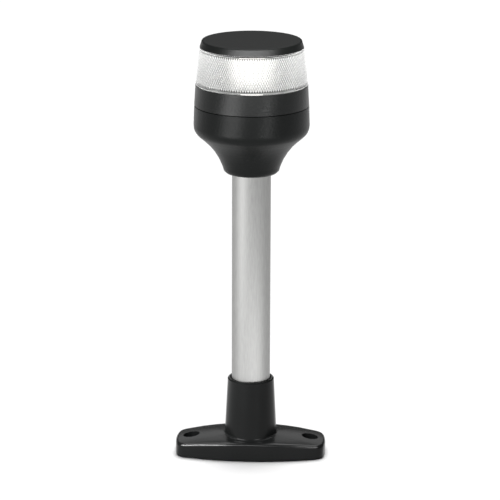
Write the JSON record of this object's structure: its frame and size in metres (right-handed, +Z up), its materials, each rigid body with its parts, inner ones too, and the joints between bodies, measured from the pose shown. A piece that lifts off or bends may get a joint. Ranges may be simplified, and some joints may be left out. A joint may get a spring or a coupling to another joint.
{
  "type": "navigation light",
  "caption": "All-round navigation light: clear prismatic lens head with bayonet twist on a black cup, satin aluminium pole and black two-screw base with conical socket",
  "frame": {"origin": "on the mounting face, under the pole's axis", "axes": "+Z up along the pole, X along the length of the base, the two pole screws face +Y"},
  "size_m": [0.075, 0.0564, 0.21],
  "materials": {
    "base_black": "satin moulded black",
    "housing_black": "matte moulded black",
    "anodised_tube": "satin clear anodised",
    "stainless": "plain stainless",
    "seal_rubber": "matte black rubber",
    "clear_lens": "clear moulded plastic with inner prisms",
    "white_reflector": "white moulded plastic",
    "emitter": "white light emitter",
    "circuit_board": "green solder mask",
    "component_black": "black moulded component",
    "heat_metal": "plain turned aluminium"
  },
  "bodies": {
    "fixed_body": {"mount_base": "base_black", "pole_tube": "anodised_tube", "pole_screw_1": "stainless", "pole_screw_2": "stainless", "wire_grommet": "seal_rubber", "lower_housing": "housing_black", "cable_gland": "seal_rubber", "driver_board": "circuit_board", "drive_inductor": "component_black", "smoothing_capacitor": "heat_metal", "control_chip": "component_black", "polarity_diode": "component_black", "terminal_block": "circuit_board", "board_spacer_1": "stainless", "board_spacer_2": "stainless", "board_spacer_3": "stainless", "heat_sink": "heat_metal", "heat_sink_screw_1": "stainless", "heat_sink_screw_2": "stainless", "heat_sink_screw_3": "stainless", "led_board": "white_reflector", "led_emitter": "emitter", "light_optic": "clear_lens", "bayonet_ring": "housing_black", "housing_seal": "seal_rubber", "lower_reflector": "white_reflector"},
    "lens_head": {"lens_collar": "housing_black", "lens_gasket": "seal_rubber", "lens": "clear_lens", "top_cap": "housing_black", "cap_gasket": "seal_rubber", "upper_reflector": "white_reflector"}
  },
  "joints": [
    {"name": "lens_twist", "type": "hinge", "parent": "fixed_body", "child": "lens_head", "pos_m": [0, 0, 0.178], "axis": [0, 0, 1], "range_deg": [0, 60]}
  ]
}
